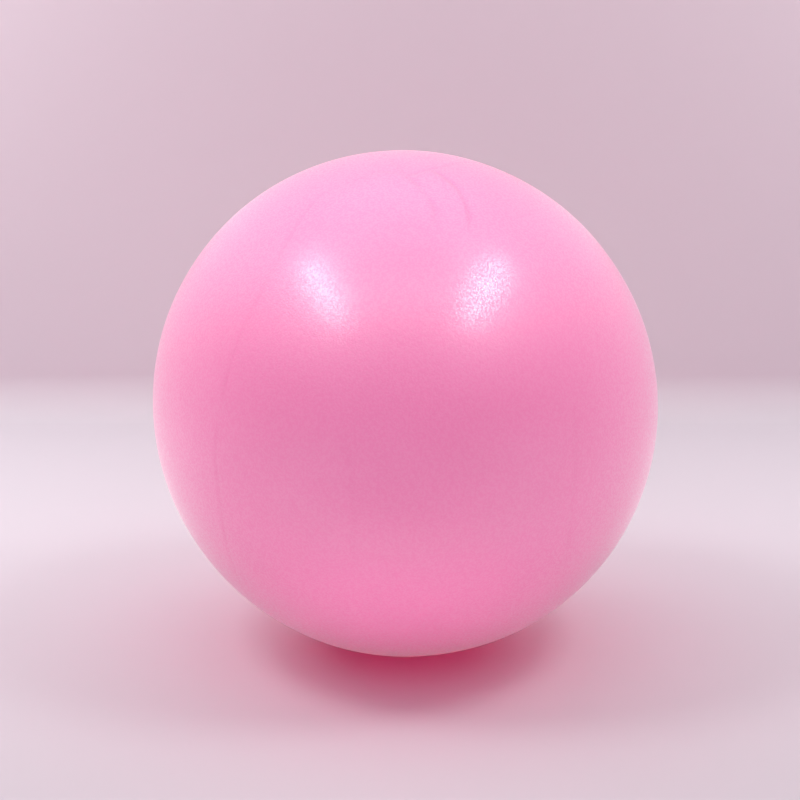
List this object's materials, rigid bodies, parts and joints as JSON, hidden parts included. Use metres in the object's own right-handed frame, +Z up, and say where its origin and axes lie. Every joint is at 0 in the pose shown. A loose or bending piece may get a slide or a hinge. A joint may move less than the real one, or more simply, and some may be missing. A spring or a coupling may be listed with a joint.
{
  "type": "exercise ball",
  "caption": "Small soft inflatable exercise ball: thin moulded skin with a flat resting patch, a flush valve bush in its wall and a pull-out stopper.",
  "frame": {"origin": "centre of the flat patch that the ball rests on", "axes": "+Z up through the ball's centre, +Y out of the valve"},
  "size_m": [0.2499, 0.2499, 0.2482],
  "materials": {
    "skin": "satin",
    "valve_bush": "satin",
    "stopper": "satin"
  },
  "bodies": {
    "ball": {"ball_skin": "skin", "valve_seat": "valve_bush"},
    "plug": {"valve_plug": "stopper"}
  },
  "joints": [
    {"name": "plug_pull", "type": "slide", "parent": "ball", "child": "plug", "axis": [0, 1, 0], "range_m": [0, 0.025]}
  ]
}
